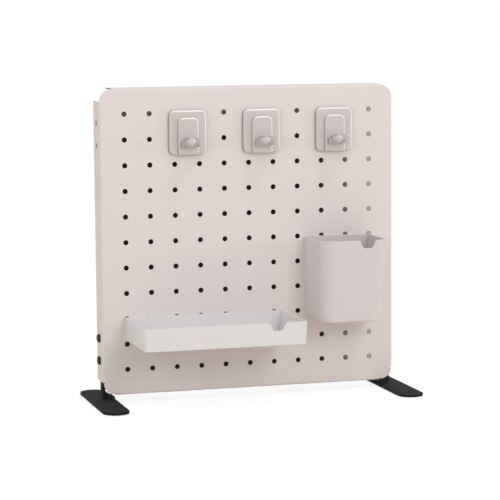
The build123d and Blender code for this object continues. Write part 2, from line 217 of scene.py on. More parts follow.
class SharedSettings(bpy.types.PropertyGroup):
    """What the tray, the cup and the hooks share."""

    side_offset: length("Side offset", "Tray's and cup's middle, right of their pegs'", 3.2 * MM)
    notch_top: length("Notch top", "Width of the notch at the rim", 17.2 * MM)
    notch_bottom: length("Notch bottom", "Width of the notch's floor", 9.0 * MM)
    notch_depth: length("Notch depth", "From the rim to the notch's floor", 7.7 * MM)
    notch_corner: length("Notch corner", "Rounding of the notch's lower corners", 1.4 * MM)
    rim_round: length("Rim round", "Rounding of the rims", 0.5 * MM)
    peg_clearance: length("Peg clearance", "Radial, in the board's holes", 0.1 * MM)
    peg_reach: length("Peg reach", "Behind the board", 8.0 * MM)
    peg_chamfer: length("Peg chamfer", "At the peg's tip", 0.8 * MM)
    peg_split: length("Peg split", "Width of the slot in a peg", 0.9 * MM)
    peg_split_length: length("Split length", "Length of the slot in a peg", 6.0 * MM)
    peg_sides: count("Peg sides", "Straight sides of one peg", 24)
    peg_softness: length("Peg softness", "Rounding of the tray's and cup's peg edges", 0.1 * MM)
    grain: length("Grain", "Size of the satin plastic's fine texture", 0.45 * MM)
    grain_height: length("Grain height", "Depth of the satin plastic's fine texture", 0.01 * MM)
    roughness: amount("Roughness", "Of the satin plastic, 1 for fully matt", 0.42)
    shine: amount("Shine", "Strength of a clear skin on the satin plastic", 0.0)


class StageSettings(bpy.types.PropertyGroup):
    """Camera, lamps, floor and background."""

    camera_place: spot("Camera place", "Where the camera stands", (-0.56429, -1.96246, 0.37775))
    camera_turn: angle("Camera turn", "Round the upright axis", -15.986)
    camera_tilt: angle("Camera tilt", "Down from level", 6.443)
    camera_roll: angle("Camera roll", "Round the line of sight", -0.488)
    lens: amount("Lens", "Focal length in millimetres, on a 36 mm frame", 149.985)
    sky: amount("Sky", "Strength of the soft light from all round", 0.655)
    key: amount("Key lamp", "Power of the soft lamp in front, in watts", 12.5)
    key_size: length("Key lamp size", "Side of the soft lamp in front", 0.8)
    key_place: spot("Key lamp place", "Where the soft lamp in front hangs", (0.52, -2.40, 1.25))
    fill: amount("Fill lamp", "Power of the wide lamp on the left, in watts", 12.5)
    fill_size: length("Fill lamp size", "Side of the wide lamp on the left", 2.0)
    fill_place: spot("Fill lamp place", "Where the wide lamp on the left hangs", (-2.3, -1.5, 0.9))
    edge: amount("Edge lamps", "Power of each lamp for the upper and right edges, in watts", 6.0)
    edge_size: length("Edge lamp size", "Side of each lamp for the edges", 0.35)
    top_place: spot("Top lamp place", "Where the lamp for the upper edges hangs", (0.55, -0.70, 2.10))
    side_place: spot("Side lamp place", "Where the lamp for the right edges hangs", (2.10, -0.80, 0.40))
    floor_size: length("Floor size", "Side of the square floor", 12.0)
    floor: colour("Floor", "Pale floor as the object is lit by it", (0.80, 0.75, 0.67))
    floor_shadow: amount("Floor shadow", "Part of the floor, as it is seen, that takes shadows", 0.30)
    floor_glow: amount("Floor glow", "Part of the floor, as it is seen, that stays white", 0.80)
    card_overlap: amount("Card overlap", "Dark card past the outer holes, in hole spacings", 0.325)
    card_gap: length("Card gap", "From the pegs' tips to the dark card", 1.0 * MM)
    wing_inset: length("Wing inset", "From a flange's outside to the card behind its holes", 2.2 * MM)
    wing_setback: length("Wing setback", "From the flange's middle back to that card's", 6 * MM)
    # Painted shade: the dark glow of the cards behind the holes
    unlit: colour("Unlit", "Unlit space behind the holes", (0.014, 0.010, 0.008))
    # Painted light: the cards' paler glow towards the right edge and along the top row
    painted_light: colour("Daylight", "The same space where light comes in", (0.64, 0.57, 0.545))
    painted_light_reach: length("Daylight reach", "How far light comes in from the right", 82 * MM)
    painted_light_top: amount("Daylight at the top", "Share of it along the top row", 0.11)


GROUPS = {
    "pegboard_board": BoardSettings,
    "pegboard_feet": FeetSettings,
    "pegboard_hooks": HookSettings,
    "pegboard_tray": TraySettings,
    "pegboard_cup": CupSettings,
    "pegboard_shared": SharedSettings,
    "pegboard_stage": StageSettings,
}


# ------------------------------------------------------------- shader network
class Value:
    """A socket in a shader network that takes part in plain arithmetic."""

    def __init__(self, net, socket):
        self.net = net
        self.socket = socket

    def maths(operation, reflected=False):
        """A method that adds the Math node of that name."""
        def method(self, other=0.0):
            first, second = (other, self) if reflected else (self, other)
            return self.net.node("ShaderNodeMath", {"operation": operation}, {0: first, 1: second})
        return method

    __add__ = maths("ADD")
    __radd__ = maths("ADD", reflected=True)
    __sub__ = maths("SUBTRACT")
    __rsub__ = maths("SUBTRACT", reflected=True)
    __mul__ = maths("MULTIPLY")
    __rmul__ = maths("MULTIPLY", reflected=True)
    __truediv__ = maths("DIVIDE")
    __mod__ = maths("FLOORED_MODULO")
    __abs__ = maths("ABSOLUTE")
    __lt__ = maths("LESS_THAN")
    __gt__ = maths("GREATER_THAN")
    __or__ = maths("MAXIMUM")


class Net:
    """A material's or the world's nodes, added one call at a time."""

    def __init__(self, owner):
        owner.use_nodes = True
        self.tree = owner.node_tree
        self.tree.nodes.clear()

    def node(self, kind, settings=None, inputs=None, output=0):
        made = self.tree.nodes.new(kind)
        for name, value in (settings or {}).items():
            setattr(made, name, value)
        for name, value in (inputs or {}).items():
            if isinstance(value, Value):
                self.tree.links.new(value.socket, made.inputs[name])
            else:
                made.inputs[name].default_value = value
        return Value(self, made.outputs[output]) if made.outputs else None

    def place(self):
        """Where a point of the piece lies, in metres."""
        return self.node("ShaderNodeTexCoord", output="Object")

    def axes(self):
        """The same, as three numbers."""
        return self.outputs("ShaderNodeSeparateXYZ", ("X", "Y", "Z"), {"Vector": self.place()})

    def outputs(self, kind, names, inputs=None):
        """Several outputs of one node."""
        first = self.node(kind, {}, inputs, output=names[0])
        return [Value(self, first.socket.node.outputs[name]) for name in names]

    def clamped(self, value):
        return self.node("ShaderNodeClamp", {}, {"Value": value})

    def noise(self, size, detail=2.0, roughness=0.5):
        """Soft noise from 0 to 1, with lumps of about the given size."""
        return self.node(
            "ShaderNodeTexNoise", {"noise_dimensions": "3D"},
            {"Vector": self.place(), "Scale": 1.0 / size, "Detail": detail, "Roughness": roughness})

    def tint(self, factor, first, second):
        """A colour between two."""
        return self.node(
            "ShaderNodeMix", {"data_type": "RGBA"},
            {"Factor": factor, "A": opaque(first), "B": opaque(second)}, output="Result")

    def bump(self, height, distance):
        return self.node("ShaderNodeBump", {}, {"Height": height, "Distance": distance})

    def mixed(self, factor, first, second):
        """A shader between two."""
        return self.node("ShaderNodeMixShader", {}, {0: factor, 1: first, 2: second})

    def glow(self, shade, strength):
        return self.node("ShaderNodeEmission", {}, {"Color": opaque(shade), "Strength": strength})

    def surface(self, **inputs):
        """The shader that covers a piece."""
        named = {name.replace("_", " "): value for name, value in inputs.items()}
        self.output(self.node("ShaderNodeBsdfPrincipled", {}, named))

    def output(self, shader, kind="Material"):
        self.node(f"ShaderNodeOutput{kind}", {}, {"Surface": shader})


def opaque(shade):
    return shade if isinstance(shade, Value) else (*shade, 1.0)


def scaled(shade, factor):
    """A colour made lighter or darker."""
    return tuple(min(1.0, part * factor) for part in shade)


def new_material(name):
    material = bpy.data.materials.new(name)
    return material, Net(material)


def cut_edges(net, board):
    """How dark the sheet's cut edges are, from 0 to 1: partly the thin coat's own darker tone, partly painted
    shade.

    1 in the holes and at the flanges' ends, and less on the rims.
    """
    x, y, z = net.axes()
    right = abs(x - BOARD_MIDDLE.x)
    up = abs(z - BOARD_MIDDLE.z)
    margin = 0.06 * MM                        # how far the tone laps round an edge

    def inside(first, second, radius):
        return (first * first + second * second) < radius ** 2

    step = board.spacing
    across = (x - hole_x(board, 0) + step / 2) % step - step / 2
    down = (z - hole_z(board, 0) + step / 2) % step - step / 2
    face = HALF_BOARD - step / 2
    peg_holes = inside(across, down, board.hole_diameter / 2 + margin) * (right < face) * (up < face)
    from_pair = abs(abs(up - board.pair_height) - board.pair_spacing / 2)
    side_holes = inside(from_pair, y - BOARD_MIDDLE.y, board.screw_hole / 2 + margin)
    flange = right > HALF_BOARD - 3 * board.sheet
    centre = HALF_BOARD - board.corner_inset - board.corner_radius
    past_corner = 1 - inside(right - centre, up - centre, board.corner_radius - margin)
    corners = past_corner * (right > centre) * (up > centre)
    end = HALF_BOARD - board.corner_setback - margin
    ends = (right > end) * (up > end) * (y > FACE_Y + 1.5 * board.sheet)
    rims = y > BOARD_HIGH.y - margin
    # full painted shade in the holes and slot ends, part of it on the rims and corner arcs
    return peg_holes | side_holes * flange | ends | (corners | rims) * board.rim_painted_shade


def powder_coat(name, coat, with_cut_edges=False):
    """Fine-textured powder coat: small lumps, faint clouds, uneven gloss.

    It is thin and darker on a sheet's cut edges, partly by the coat's own tone and partly by painted shade in
    the holes, the slot ends and along the rims.
    """
    material, net = new_material(name)
    lumps = net.noise(coat.grain, detail=3.0, roughness=0.6)
    clouds = net.noise(60 * coat.grain, detail=3.0)
    shade = net.tint(clouds, scaled(coat.paint, 1 - coat.unevenness), scaled(coat.paint, 1 + coat.unevenness))
    if with_cut_edges:
        # darker cut edges: the coat's own tone mixed with painted shade
        shade = net.tint(cut_edges(net, coat), shade, coat.cut_edge_painted_shade)
    net.surface(
        Base_Color=shade,
        Roughness=coat.roughness + 0.14 * lumps,
        Normal=net.bump(lumps, coat.grain_height),
        Specular_IOR_Level=coat.gloss,
    )
    return material


def moulded_plastic(name, plastic, skin, edge=None):
    """Moulded plastic: a faint spark-eroded grain and a soft shine.

    With an edge colour, faces marked on the rounded edges are paler: a painted highlight, strongest where
    they face up or right.
    """
    material, net = new_material(name)
    grit = net.noise(skin.grain, detail=2.0, roughness=0.55)
    flow = net.noise(12 * MM, detail=2.0)
    shade = net.tint(flow, scaled(plastic, 0.985), scaled(plastic, 1.015))
    if edge is not None:
        # painted highlight on the rounded edges, by their face attribute
        marked = net.node("ShaderNodeAttribute", {"attribute_name": PAINTED_EDGE_HIGHLIGHT}, output="Fac")
        shade = net.tint(marked, shade, edge)
    net.surface(
        Base_Color=shade,
        Roughness=skin.roughness + 0.08 * grit + 0.05 * flow,
        Normal=net.bump(grit, skin.grain_height),
        Subsurface_Weight=0.12,
        Subsurface_Radius=(0.9, 0.75, 0.6),
        Subsurface_Scale=0.6 * MM,
        Coat_Weight=skin.shine,
        Coat_Roughness=0.18,
    )
    return material


def turned_steel(name, shade, roughness, metallic):
    """Plated or bronzed steel with fine streaks."""
    material, net = new_material(name)
    streaks = net.noise(0.25 * MM, detail=3.0, roughness=0.65)
    wear = net.noise(1.4 * MM, detail=2.0)
    net.surface(
        Base_Color=net.tint(wear, scaled(shade, 0.8), scaled(shade, 1.25)),
        Roughness=roughness + 0.15 * streaks,
        Metallic=metallic,
        Normal=net.bump(streaks, 0.008 * MM),
    )
    return material


def foam_rubber(name, shade):
    """Matt rubber with open pores."""
    material, net = new_material(name)
    pores = net.noise(0.5 * MM, detail=3.0, roughness=0.7)
    net.surface(
        Base_Color=net.tint(pores, scaled(shade, 0.6), scaled(shade, 1.5)),
        Roughness=0.85 + 0.1 * pores,
        Normal=net.bump(pores, 0.06 * MM),
    )
    return material


# ------------------------------------------------------------------ mesh work
def unique(items):
    """The items without repeats, in their own order."""
    return list(dict.fromkeys(items))


def only(kind, items):
    """The vertices, edges or faces among what an operator returns."""
    return [item for item in items if isinstance(item, kind)]


def level(edges, axis, value):
    """The edges that lie at one place along an axis."""
    return [edge for edge in edges if all(abs(getattr(vert.co, axis) - value) < NEAR for vert in edge.verts)]


def rounded(bm, geometry, width, segments, affect="EDGES", clamp=False):
    """Rounds edges or corners evenly."""
    return bmesh.ops.bevel(
        bm, geom=geometry, offset=width, offset_type="OFFSET", segments=segments,
        profile=0.5, affect=affect, material=-1, clamp_overlap=clamp)


def pushed(bm, made, way):
    """Moves what an extrusion made, and returns its vertices."""
    verts = only(VERT, made["geom"])
    bmesh.ops.translate(bm, verts=verts, vec=way)
    return verts


def in_scene(bm, name):
    """Turns a bmesh into an object of the scene."""
    mesh = bpy.data.meshes.new(name)
    bm.to_mesh(mesh)
    bm.free()
    made = bpy.data.objects.new(name, mesh)
    bpy.context.scene.collection.objects.link(made)
    return made


def modify(piece, modifiers):
    for kind, settings in modifiers:
        modifier = piece.modifiers.new(kind.title(), kind)
        for name, value in settings.items():
            setattr(modifier, name, value)


def finish(bm, name, body, material, node, modifiers):
    """Turns a bmesh into a piece of the object and ties it to its CAD body."""
    piece = in_scene(bm, name)
    piece.data.shade_smooth()
    piece.data.materials.append(material)
    modify(piece, modifiers)
    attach(piece, body)
    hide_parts(node)


FLAT_FACES = ("WEIGHTED_NORMAL", {"keep_sharp": False, "weight": 80})


def soft_edges(width, segments=2):
    """Bevel of the sharp edges, then normals that keep flat faces flat."""
    return (
        ("BEVEL", {"width": width, "segments": segments, "limit_method": "ANGLE",
                   "angle_limit": SHARP, "use_clamp_overlap": True}),
        FLAT_FACES,
    )


def wall(thickness):
    return ("SOLIDIFY", {"thickness": thickness, "offset": -1.0, "use_even_offset": True})


def ring(bm, board, diameter, centre, turn):
    """A circular hole's edge with a narrow flat collar of faces round it.

    Returns the collar's outer edges, for the sheet to be filled up to.
    """
    radius = diameter / 2
    verts = bmesh.ops.create_circle(bm, cap_ends=False, radius=radius, segments=board.hole_sides,
                                    matrix=Matrix.Translation(centre) @ turn)["verts"]
    inner = unique(edge for vert in verts for edge in vert.link_edges)
    made = bmesh.ops.extrude_edge_only(bm, edges=inner)["geom"]
    outer = only(VERT, made)
    spread = (radius + board.hole_collar) / radius
    bmesh.ops.scale(bm, verts=outer, vec=(spread,) * 3, space=Matrix.Translation(-Vector(centre)))
    return [edge for edge in only(EDGE, made) if all(vert in outer for vert in edge.verts)]


def arc(centre, radius, first, last, steps):
    """Points on an arc in a plane, with angles in degrees."""
    places = [math.radians(first + (last - first) * step / steps) for step in range(steps + 1)]
    return [(centre[0] + radius * math.cos(a), centre[1] + radius * math.sin(a)) for a in places]


def closed_line(bm, points):
    """Edges through the points and back to the first."""
    verts = [bm.verts.new(point) for point in points]
    return [bm.edges.new((verts[i - 1], vert)) for i, vert in enumerate(verts)]


def face_outwards(bm, direction):
    """Makes the normals agree, with the first face on that side pointing there."""
    bmesh.ops.remove_doubles(bm, verts=bm.verts, dist=NEAR)
    bmesh.ops.recalc_face_normals(bm, faces=bm.faces)
    bm.faces.ensure_lookup_table()
    leading = max(bm.faces, key=lambda face: face.calc_center_median().dot(direction))
    if leading.normal.dot(direction) < 0:
        bmesh.ops.reverse_faces(bm, faces=bm.faces)


def slab(bm, low, high, corners, corner_radius, steps):
    """A box between two corners whose edges along Y are rounded in plan.

    corners picks them by a test on a corner's X and Z.
    """
    made = bmesh.ops.create_cube(bm, size=1.0)["verts"]
    size = Vector(high) - Vector(low)
    bmesh.ops.scale(bm, verts=made, vec=size)
    bmesh.ops.translate(bm, verts=made, vec=(Vector(high) + Vector(low)) / 2)
    edges = unique(edge for vert in made for edge in vert.link_edges
                   if abs(edge.verts[0].co.y - edge.verts[1].co.y) > size.y / 2 and corners(vert.co))
    rounded(bm, edges, corner_radius, steps)


def soften_rim_with_painted_highlight(bm, edges, width, segments):
    """Rounds the edges, and marks the new faces for a painted highlight, most where they face up or right."""
    mark = bm.faces.layers.float.new(PAINTED_EDGE_HIGHLIGHT)
    least, lead = 0.12, 0.35                  # on faces that look away, and on those side on
    for face in rounded(bm, edges, width, segments)["faces"]:
        turned = math.hypot(face.normal.x, face.normal.z)
        if turned > 0.1:                      # flat faces stay unmarked
            towards = (face.normal.x + face.normal.z) / turned
            face[mark] = least + (1 - least) * min(1.0, max(0.0, lead + towards))


def linked_faces(faces):
    """The faces and all that hang together with them."""
    found = unique(faces)
    seen = set(found)
    for face in found:                        # the list grows while it is walked
        for other in unique(other for edge in face.edges for other in edge.link_faces):
            if other not in seen:
                seen.add(other)
                found.append(other)
    return found


def add_peg(bm, shared, board, x, z):
    """A split peg from the board's front face to behind the sheet."""
    radius = board.hole_diameter / 2 - shared.peg_clearance
    tip = FACE_Y + board.sheet + shared.peg_reach
    split_start = tip - shared.peg_split_length
    turn = Matrix.Rotation(-math.pi / 2, 4, "X")

    def rod(start, end):
        matrix = Matrix.Translation((x, (start + end) / 2, z)) @ turn
        return bmesh.ops.create_cone(
            bm, cap_ends=True, cap_tris=False, segments=shared.peg_sides, radius1=radius,
            radius2=radius, depth=end - start, matrix=matrix)["verts"]

    rod(FACE_Y, split_start)
    edges = unique(edge for vert in rod(split_start, tip) for edge in vert.link_edges)
    chamfer = rounded(bm, level(edges, "y", tip), shared.peg_chamfer, segments=1)
    faces = linked_faces(face for vert in chamfer["verts"] for face in vert.link_faces)
    around = unique(item for face in faces for item in (*face.edges, *face.verts))
    cut = bmesh.ops.bisect_plane(
        bm, geom=faces + around, plane_co=(x + shared.peg_split / 2, 0, 0), plane_no=(1, 0, 0),
        clear_inner=True)
    rim = only(EDGE, cut["geom_cut"])
    bmesh.ops.contextual_create(bm, geom=rim)
    half = linked_faces(face for edge in rim for face in edge.link_faces)
    copy = bmesh.ops.duplicate(bm, geom=half)["geom"]
    mirror = Matrix.Translation((-x, 0, 0))
    bmesh.ops.scale(bm, verts=only(VERT, copy), vec=(-1, 1, 1), space=mirror)
    bmesh.ops.reverse_faces(bm, faces=only(FACE, copy))


def hole_x(board, column):
    return BOARD_MIDDLE.x + (column - (board.columns - 1) / 2) * board.spacing


def hole_z(board, row):
    return BOARD_MIDDLE.z + ((board.rows - 1) / 2 - row) * board.spacing


# ------------------------------------------------------------------ the pieces
class PEGBOARD_OT_board(bpy.types.Operator):
    """Build the perforated steel board with its four flanges"""

    bl_idname = "pegboard.board"
    bl_label = "Board"

    def execute(self, context):
        board = context.scene.pegboard_board
        bm = bmesh.new()
        flange_end = HALF_BOARD - board.corner_setback
        corner = self.corner_points(board, flange_end)
        outline = []
        for sign_x, sign_z in ((1, 1), (-1, 1), (-1, -1), (1, -1)):
            points = corner if sign_x * sign_z > 0 else corner[::-1]
            outline += [(sign_x * x, FACE_Y, BOARD_MIDDLE.z + sign_z * z) for x, z in points]
        edges = closed_line(bm, outline)
        bends = [edge for edge in edges if edge.calc_length() > flange_end]
        upright = Matrix.Rotation(math.pi / 2, 4, "X")
        for column in range(board.columns):
            for row in range(board.rows):
                centre = (hole_x(board, column), FACE_Y, hole_z(board, row))
                edges += ring(bm, board, board.hole_diameter, centre, upright)
        bmesh.ops.triangle_fill(bm, edges=edges, use_beauty=True, normal=(0, -1, 0))
        for edge in bends:
            self.add_flange(bm, board, edge)
        face_outwards(bm, Vector((0, -1, 0)))
        steel = powder_coat("warm white powder coat", board, with_cut_edges=True)
        finish(bm, "steel_board", "stand", steel, "board",
               (wall(board.sheet), *soft_edges(board.softness)))
        return {"FINISHED"}

    @staticmethod
    def corner_points(board, flange_end):
        """The face's outline from one fold to the next, round one corner."""
        bend = HALF_BOARD - board.bend_radius
        slot_floor = bend - board.relief_depth
        slot_end = flange_end + board.relief_width
        centre = HALF_BOARD - board.corner_inset - board.corner_radius
        start = math.degrees(math.asin((slot_end - centre) / board.corner_radius))
        side = [(bend, flange_end), (slot_floor, flange_end), (slot_floor, slot_end)]
        round_part = arc((centre, centre), board.corner_radius, start, 90 - start, board.corner_steps)
        return side + round_part + [(z, x) for x, z in reversed(side)]

    @staticmethod
    def add_flange(bm, board, edge):
        """Folds a flange back from one side of the face."""
        middle = (edge.verts[0].co + edge.verts[1].co) / 2
        outward = Vector((middle.x, 0, middle.z - BOARD_MIDDLE.z)).normalized()
        along = outward.cross(Vector((0, 1, 0)))
        centre = middle + Vector((0, board.bend_radius, 0))
        swept = bmesh.ops.spin(
            bm, geom=[edge, *edge.verts], cent=centre, axis=along, angle=math.pi / 2,
            steps=board.bend_steps, use_merge=False)["geom_last"]
        last = only(EDGE, swept)[0]
        reach = BOARD_HIGH.y - FACE_Y - board.bend_radius
        far = [bm.verts.new(vert.co + Vector((0, reach, 0))) for vert in last.verts]
        edges = [
            last,
            bm.edges.new((last.verts[0], far[0])),
            bm.edges.new(far),
            bm.edges.new((far[1], last.verts[1])),
        ]
        if abs(outward.x) > 0.5:
            across = Matrix.Rotation(math.pi / 2, 4, "Y")
            for pair in (-1, 1):
                for step in (-1, 1):
                    z = BOARD_MIDDLE.z + pair * board.pair_height + step * board.pair_spacing / 2
                    centre = (outward.x * HALF_BOARD, BOARD_MIDDLE.y, z)
                    edges += ring(bm, board, board.screw_hole, centre, across)
        bmesh.ops.triangle_fill(bm, edges=edges, use_beauty=True, normal=outward)


class PEGBOARD_OT_feet(bpy.types.Operator):
    """Build the feet and give their brackets, pads and fasteners a finish"""

    bl_idname = "pegboard.feet"
    bl_label = "Feet"

    def execute(self, context):
        feet = context.scene.pegboard_feet
        black = powder_coat("black powder coat", feet)
        coats = {
            "foot_bracket": black,
            "foot_rivets": black,
            "foot_pads": foam_rubber("pad rubber", feet.rubber),
            "side_screws": turned_steel("bronzed screw", feet.screw, roughness=0.27, metallic=0.8),
            "side_nuts": turned_steel("zinc plate", feet.zinc, roughness=0.32, metallic=1.0),
        }
        for side in ("left", "right"):
            self.add_plate(feet, side, black)
            for node, material in coats.items():
                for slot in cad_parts[f"{node}_{side}"].material_slots:
                    slot.material = material
        return {"FINISHED"}

    @staticmethod
    def add_plate(feet, side, material):
        """A long plate with fully rounded ends and a softened upper edge."""
        low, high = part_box(f"foot_plate_{side}")
        bm = bmesh.new()
        bmesh.ops.create_grid(bm, x_segments=1, y_segments=1, size=0.5)
        size = high - low
        bmesh.ops.scale(bm, verts=bm.verts, vec=(size.x, size.y, 1))
        bmesh.ops.translate(bm, verts=bm.verts, vec=((low.x + high.x) / 2, (low.y + high.y) / 2, low.z))
        rounded(bm, list(bm.verts), size.x / 2, feet.end_steps, affect="VERTICES")
        bmesh.ops.remove_doubles(bm, verts=bm.verts, dist=NEAR)
        top = pushed(bm, bmesh.ops.extrude_face_region(bm, geom=list(bm.faces)), (0, 0, size.z))
        rim = [edge for edge in bm.edges if all(vert in top for vert in edge.verts)]
        rounded(bm, rim, feet.edge_radius, segments=3)
        bmesh.ops.recalc_face_normals(bm, faces=bm.faces)
        finish(bm, f"foot_{side}", "stand", material, f"foot_plate_{side}", (FLAT_FACES,))


class PEGBOARD_OT_hooks(bpy.types.Operator):
    """Build the three plug-in hooks"""

    bl_idname = "pegboard.hooks"
    bl_label = "Hooks"

    def execute(self, context):
        scene = context.scene
        hooks = scene.pegboard_hooks
        glossy = moulded_plastic("pale hook plastic", hooks.plastic, hooks, edge=hooks.painted_highlight_tone)
        for which in ("left", "middle", "right"):
            self.add_plate(scene, which, glossy)
            self.add_arm(hooks, which, glossy)
        return {"FINISHED"}

    @staticmethod
    def add_plate(scene, which, material):
        hooks, board = scene.pegboard_hooks, scene.pegboard_board
        low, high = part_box(f"hook_{which}_plate")
        front = FACE_Y - hooks.thickness
        bm = bmesh.new()
        slab(bm, (low.x, front, low.z), (high.x, FACE_Y, high.z), lambda corner: True, hooks.corner,
             hooks.corner_steps)
        soften_rim_with_painted_highlight(bm, level(bm.edges, "y", front), hooks.edge, segments=5)
        middle = (low.x + high.x) / 2
        for x in (middle - board.spacing / 2, middle + board.spacing / 2):
            for row in (0, 1):
                add_peg(bm, scene.pegboard_shared, board, x, hole_z(board, row))
        finish(bm, f"hook_plate_{which}", f"hook_{which}", material, f"hook_{which}_plate",
               (FLAT_FACES,))

    @staticmethod
    def add_arm(hooks, which, material):
        low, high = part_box(f"hook_{which}_arm")
        front = FACE_Y - hooks.thickness - hooks.tongue_raise
        bm = bmesh.new()
        middle = (low + high) / 2
        slab(bm, (low.x, front, low.z), high, lambda corner: corner.z > middle.z, hooks.tongue_corner,
             hooks.corner_steps)
        soften_rim_with_painted_highlight(bm, level(bm.edges, "y", front), hooks.tongue_edge, segments=4)
        PEGBOARD_OT_hooks.add_nose(bm, hooks, middle.x, front, low)
        finish(bm, f"hook_arm_{which}", f"hook_{which}", material, f"hook_{which}_arm",
               (FLAT_FACES,))

    @staticmethod
    def add_nose(bm, hooks, middle, face_y, low):
        """The upturned nose: a side outline given its width, with round edges."""
        crotch = low.z + hooks.nose_root
        under = crotch - hooks.nose_root_thickness
        lip_half = hooks.nose_lip_thickness / 2
        lip_y = low.y + lip_half
        lip_z = crotch + hooks.nose_lip_height - lip_half
        root_y = face_y + hooks.tongue_raise / 2
        inner_y = lip_y + lip_half
        inner_middle = (face_y + inner_y) / 2
        hollow, belly = [], []
        for step in range(hooks.hollow_steps):
            turn = math.pi * step / hooks.hollow_steps
            hollow.append((inner_middle + (face_y - inner_middle) * math.cos(turn),
                           crotch - hooks.nose_sag * math.sin(turn)))
        for step in range(hooks.belly_steps):
            turn = math.pi / 2 * (step + 1) / hooks.belly_steps
            belly.append((low.y + (face_y - low.y) * (1 - math.cos(turn) ** hooks.nose_fullness),
                          lip_z - (lip_z - under) * math.sin(turn) ** hooks.nose_fullness))
        lip = arc((lip_y, lip_z), lip_half, 0, 180, hooks.hollow_steps)
        outline = [(root_y, under), (root_y, crotch), *hollow, *lip, *belly]
        first = len(bm.faces)
        verts = [bm.verts.new((middle - hooks.nose_width / 2, y, z)) for y, z in outline]
        side = bm.faces.new(verts)
        moved = pushed(bm, bmesh.ops.extrude_face_region(bm, geom=[side]), (hooks.nose_width, 0, 0))
        corner_start = crotch + hooks.nose_lip_height - hooks.nose_corner
        for vert in moved + verts:
            rise = (vert.co.z - corner_start) / hooks.nose_corner
            if rise > 0 and vert.co.y < inner_middle:
                inset = hooks.nose_corner * (1 - math.sqrt(max(0.0, 1 - rise * rise)))
                vert.co.x += math.copysign(inset, middle - vert.co.x)
        bm.faces.ensure_lookup_table()
        sides = [face for face in bm.faces[first:] if len(face.verts) == len(outline)]
        edges = unique(edge for face in sides for edge in face.edges if edge.calc_center_median().y < face_y)
        rounded(bm, edges, hooks.nose_edge, segments=4, clamp=True)
        bmesh.ops.recalc_face_normals(bm, faces=bm.faces)


def open_shell(bm, low, high, side_draft, front_draft, corner, steps, foot_round):
    """A drafted open box with a flat back and rounded front corners.

    low and high are its box at the rim. The sides and the front lean in
    towards the foot. The mesh is the outside surface only.
    """
    bmesh.ops.create_grid(bm, x_segments=1, y_segments=1, size=0.5)
    size = high - low
    foot_width = size.x - 2 * side_draft
    foot_depth = size.y - front_draft
    bmesh.ops.scale(bm, verts=bm.verts, vec=(foot_width, foot_depth, 1))
    middle_x = (low.x + high.x) / 2
    bmesh.ops.translate(bm, verts=bm.verts, vec=(middle_x, high.y - foot_depth / 2, low.z))
    rounded(bm, [vert for vert in bm.verts if vert.co.y < high.y - foot_depth / 2], corner, steps,
            affect="VERTICES")
    rim = pushed(bm, bmesh.ops.extrude_edge_only(bm, edges=list(bm.edges)), (0, 0, size.z))
    for sign in (-1, 1):
        side = [vert for vert in rim if sign * (vert.co.x - middle_x) > 0]
        bmesh.ops.translate(bm, verts=side, vec=(sign * side_draft, 0, 0))

    def before_back(vert):
        return vert.co.y < high.y - MM

    bmesh.ops.translate(bm, verts=list(filter(before_back, rim)), vec=(0, -front_draft, 0))
    bottom = [edge for edge in level(bm.edges, "z", low.z) if any(map(before_back, edge.verts))]
    rounded(bm, bottom, foot_round, segments=3)
    bmesh.ops.recalc_face_normals(bm, faces=bm.faces)
    floor = min(bm.faces, key=lambda face: face.calc_center_median().z)
    if floor.normal.z > 0:
        bmesh.ops.reverse_faces(bm, faces=bm.faces)


def notch_cutter(shared, middle, rim, front):
    """A block that cuts the tapered notch into a front rim."""
    bm = bmesh.new()
    over, ahead, through = 2 * MM, 4 * MM, 12 * MM      # how far it stands past the rim and the wall
    spread = (shared.notch_top - shared.notch_bottom) / 2 * (1 + over / shared.notch_depth)
    half = shared.notch_bottom / 2
    floor = rim - shared.notch_depth
    outline = [(-half - spread, rim + over), (-half, floor), (half, floor), (half + spread, rim + over)]
    verts = [bm.verts.new((middle + x, front - ahead, z)) for x, z in outline]
    bm.faces.new(verts)
    lower = [vert for vert in verts if vert.co.z < rim]
    rounded(bm, lower, shared.notch_corner, segments=5, affect="VERTICES")
    pushed(bm, bmesh.ops.extrude_face_region(bm, geom=list(bm.faces)), (0, through, 0))
    bmesh.ops.recalc_face_normals(bm, faces=bm.faces)
    return in_scene(bm, "notch_cutter")


def cut_shell(bm, thickness, cutter):
    """Gives the shell its wall, cuts it, and returns it as a new bmesh."""
    shell = in_scene(bm, "shell")
    notch = ("BOOLEAN", {"operation": "DIFFERENCE", "solver": "EXACT", "object": cutter})
    modify(shell, (wall(thickness), notch))
    evaluated = shell.evaluated_get(bpy.context.evaluated_depsgraph_get())
    cut = bmesh.new()
    cut.from_mesh(evaluated.to_mesh())
    evaluated.to_mesh_clear()
    for used in (shell, cutter):
        data = used.data
        bpy.data.objects.remove(used)
        bpy.data.meshes.remove(data)
    return cut


